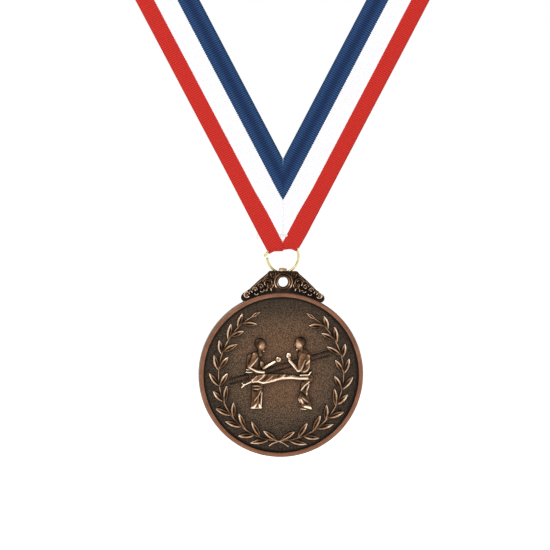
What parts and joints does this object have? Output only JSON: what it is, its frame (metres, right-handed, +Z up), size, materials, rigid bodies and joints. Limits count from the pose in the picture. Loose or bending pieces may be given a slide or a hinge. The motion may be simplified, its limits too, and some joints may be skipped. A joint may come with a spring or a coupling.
{
  "type": "award medal on neck ribbon",
  "caption": "Round antique bronze martial arts medal with a wreath and two sparring figures, hung by a jump ring from a red, white and blue neck ribbon.",
  "frame": {"origin": "middle of the ribbon loop at the nape, in the middle of the cloth", "axes": "+Z up, +Y towards the wearer's back; the medal's front faces -Y and +X is to the right of someone looking at it"},
  "size_m": [0.187, 0.125, 0.3676],
  "materials": {
    "red_cloth": "ribbed woven ribbon, satin, bright red",
    "white_cloth": "ribbed woven ribbon, satin, white",
    "blue_cloth": "ribbed woven ribbon, satin, navy blue",
    "thread": "white sewing thread",
    "brass_wire": "pale drawn brass wire, lightly polished",
    "field_bronze": "dark antique bronze plating, sandblasted",
    "relief_bronze": "antique bronze plating, dark in the hollows and rubbed bright on the edges",
    "copper_rim": "brushed coppery bronze, satin"
  },
  "bodies": {
    "ribbon": {"red_stripe": "red_cloth", "white_stripe": "white_cloth", "blue_stripe": "blue_cloth", "mitre_seam": "thread"},
    "ribbon_point": {"point_red": "red_cloth", "point_white": "white_cloth", "fold_flap": "red_cloth", "bar_tack": "thread"},
    "ring": {"jump_ring": "brass_wire"},
    "medal": {"medal_disc": "field_bronze", "front_rim": "copper_rim", "back_rim": "copper_rim", "header_plate": "field_bronze", "header_boss": "relief_bronze", "scroll_left": "relief_bronze", "scroll_right": "relief_bronze", "flutes_left": "relief_bronze", "flutes_right": "relief_bronze", "ring_lug": "relief_bronze", "stem_left": "relief_bronze", "stem_right": "relief_bronze", "leaves_left": "relief_bronze", "leaves_right": "relief_bronze", "fighter_left": "relief_bronze", "fighter_right": "relief_bronze", "kicking_leg": "relief_bronze", "ropes": "field_bronze"}
  },
  "joints": [
    {"name": "point_flex", "type": "hinge", "parent": "ribbon", "child": "ribbon_point", "pos_m": [0, -0.11613, -0.26539], "axis": [1, 0, 0], "range_deg": [-60, 60]},
    {"name": "ring_turn", "type": "hinge", "parent": "ribbon_point", "child": "ring", "pos_m": [0, -0.1153, -0.28079], "axis": [0, 1, 0], "range_deg": [-20, 20]},
    {"name": "medal_swing", "type": "hinge", "parent": "ring", "child": "medal", "pos_m": [0, -0.1153, -0.28689], "axis": [1, 0, 0], "range_deg": [-22, 120]}
  ]
}
